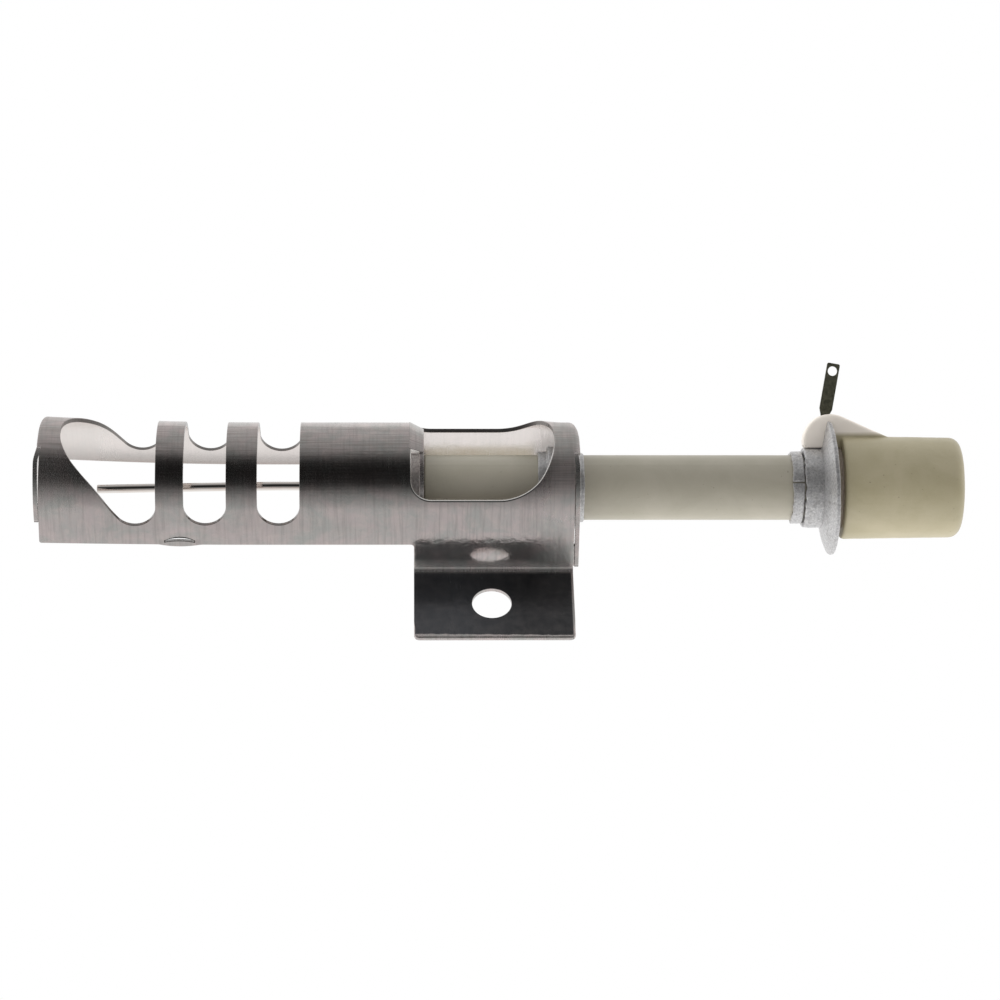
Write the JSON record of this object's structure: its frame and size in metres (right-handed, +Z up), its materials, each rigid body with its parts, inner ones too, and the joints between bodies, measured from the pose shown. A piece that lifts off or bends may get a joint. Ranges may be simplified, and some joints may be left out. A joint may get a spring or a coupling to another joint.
{
  "type": "ignition electrode",
  "caption": "Spark ignition electrode: a rod in a ceramic insulator, held in a slotted stainless arch shield with a screw foot, with a side terminal blade.",
  "frame": {"origin": "centre of the foot's fixing hole, on the foot's underside", "axes": "+X along the electrode from the spark end to the ceramic head; +Z up, square to the foot; the foot sticks out to -Y"},
  "size_m": [0.1657, 0.046, 0.028],
  "materials": {
    "stainless": "brushed stainless sheet, as stamped",
    "plated_steel": "dull zinc plating, speckled",
    "tube_ceramic": "unglazed, pale olive grey",
    "head_ceramic": "unglazed, pale straw",
    "rod_alloy": "drawn wire, dull",
    "blade_steel": "oxidised, dark olive grey",
    "gasket_fibre": "brown fibre",
    "cement": "matt refractory cement"
  },
  "bodies": {
    "root": {"shield": "stainless", "front_bush": "plated_steel", "insulator_tube": "tube_ceramic", "nose_ferrule": "plated_steel", "electrode_rod": "rod_alloy", "front_seal": "cement", "rear_split_ring": "plated_steel", "rear_collar": "plated_steel", "flange_disc": "plated_steel", "head_gasket": "gasket_fibre", "insulator_head": "head_ceramic", "head_cement": "cement", "rod_crimp_sleeve": "rod_alloy", "terminal_blade": "blade_steel"}
  },
  "joints": []
}
